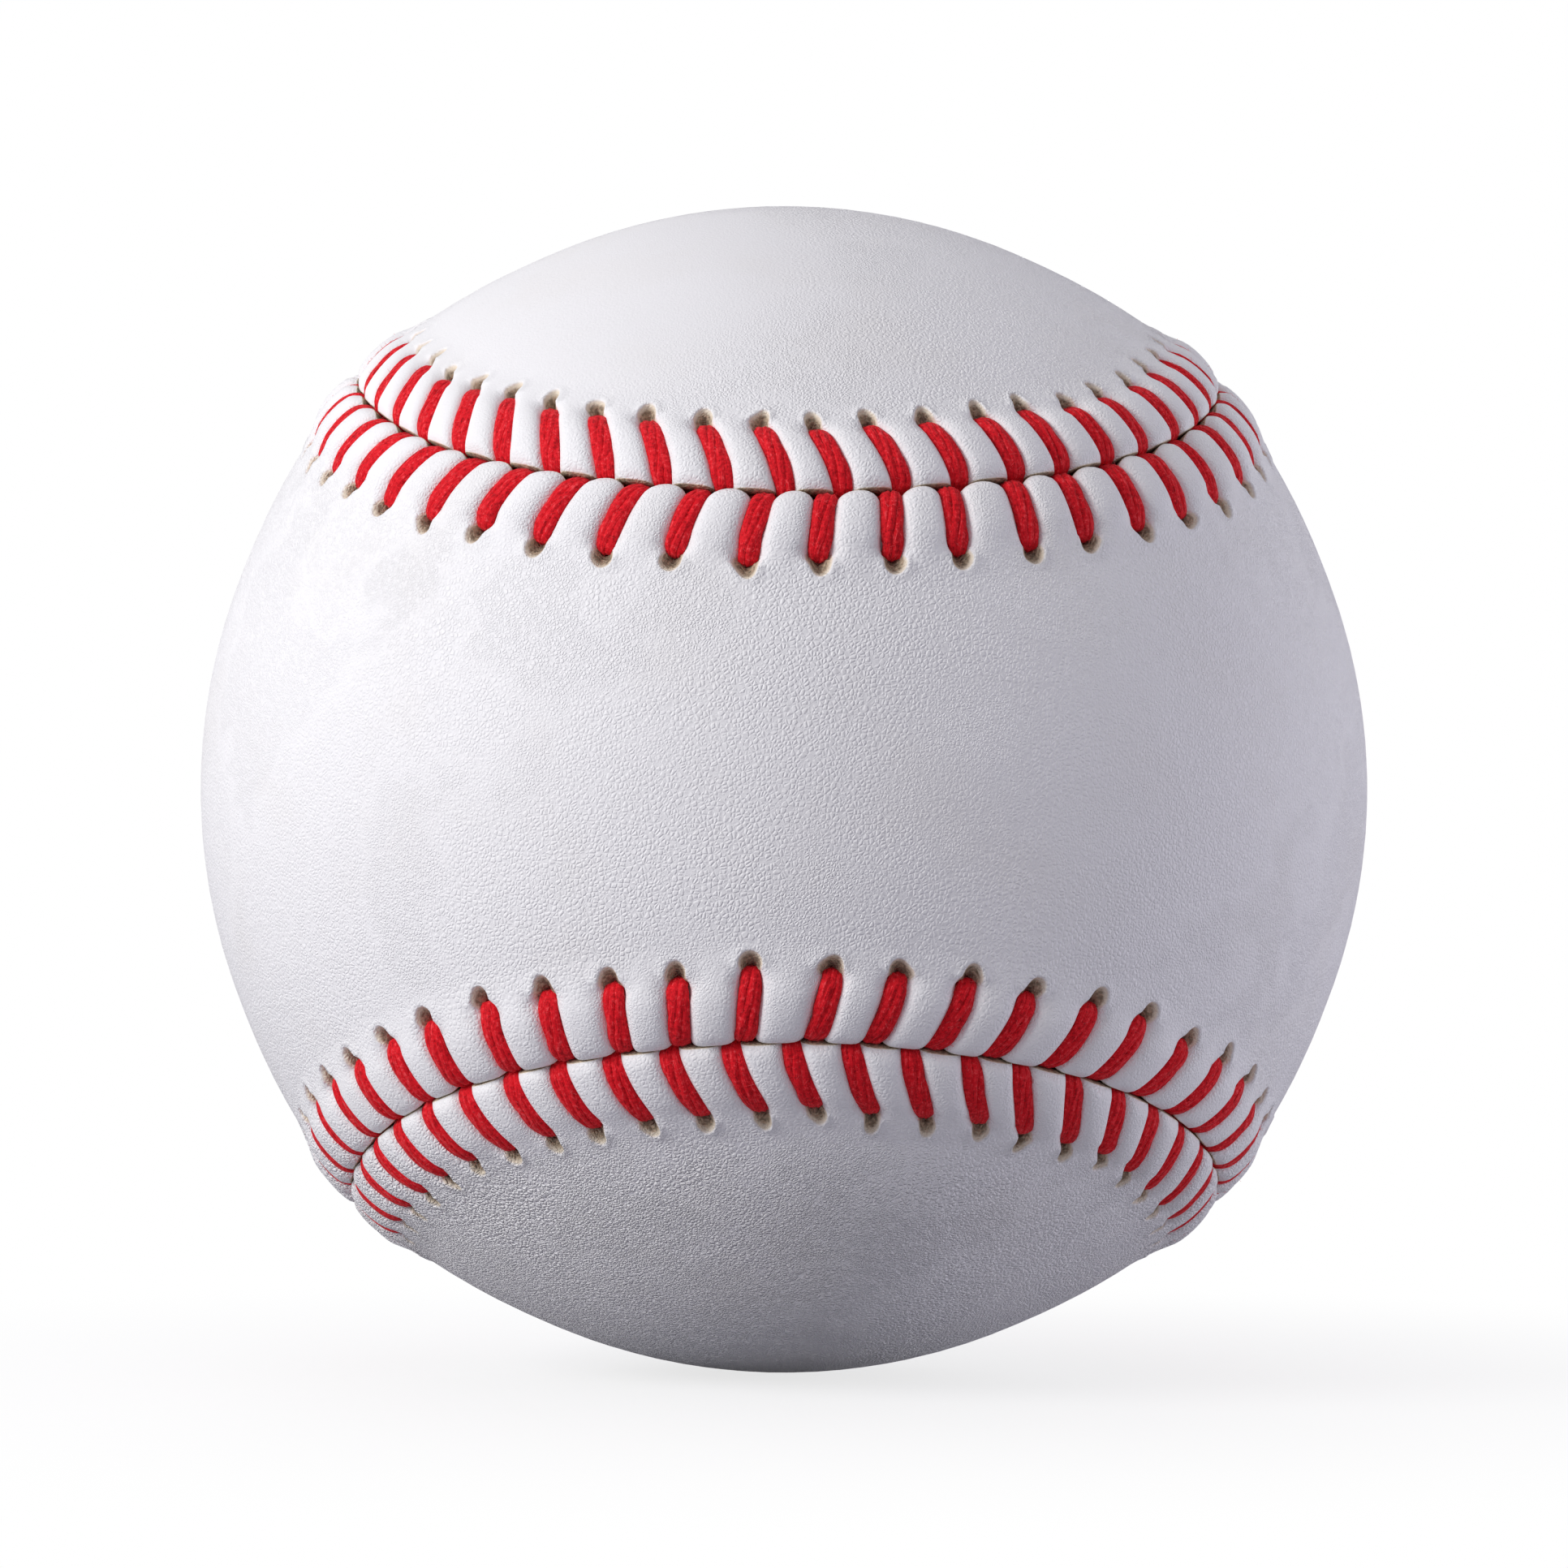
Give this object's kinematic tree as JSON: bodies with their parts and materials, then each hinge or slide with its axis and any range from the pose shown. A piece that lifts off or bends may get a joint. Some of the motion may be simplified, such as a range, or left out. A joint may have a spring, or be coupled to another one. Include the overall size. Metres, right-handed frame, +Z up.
{
  "type": "baseball",
  "caption": "Hand-sewn leather baseball with a raised, red-stitched seam over wound yarn and a cushioned cork centre, for throwing, hitting and catching.",
  "frame": {"origin": "centre of the ball", "axes": "+Z up; the front panel's waist faces -Y, so the seam runs above and below it there; the two panels map onto each other by a quarter turn about Y with a flip"},
  "size_m": [0.0744, 0.0744, 0.0744],
  "materials": {
    "white_leather": "semi-matte, fine pebbled grain",
    "red_thread": "waxed twisted cotton",
    "cement": "dull dried rubber cement",
    "cotton": "fine wound yarn",
    "grey_wool": "wound wool yarn",
    "white_wool": "wound wool yarn",
    "red_rubber": "moulded, matte",
    "black_rubber": "moulded, matte",
    "cork": "granulated cork"
  },
  "bodies": {
    "root": {"cork_centre": "cork", "black_rubber_half_upper": "black_rubber", "black_rubber_half_lower": "black_rubber", "red_rubber_washer": "red_rubber", "red_rubber_half_right": "red_rubber", "red_rubber_half_left": "red_rubber", "grey_wool_winding_inner": "grey_wool", "white_wool_winding": "white_wool", "grey_wool_winding_outer": "grey_wool", "cotton_winding": "cotton", "cement_coat": "cement", "cover_panel_front": "white_leather", "cover_panel_back": "white_leather", "stitch_thread_first": "red_thread", "stitch_thread_second": "red_thread"}
  },
  "joints": []
}
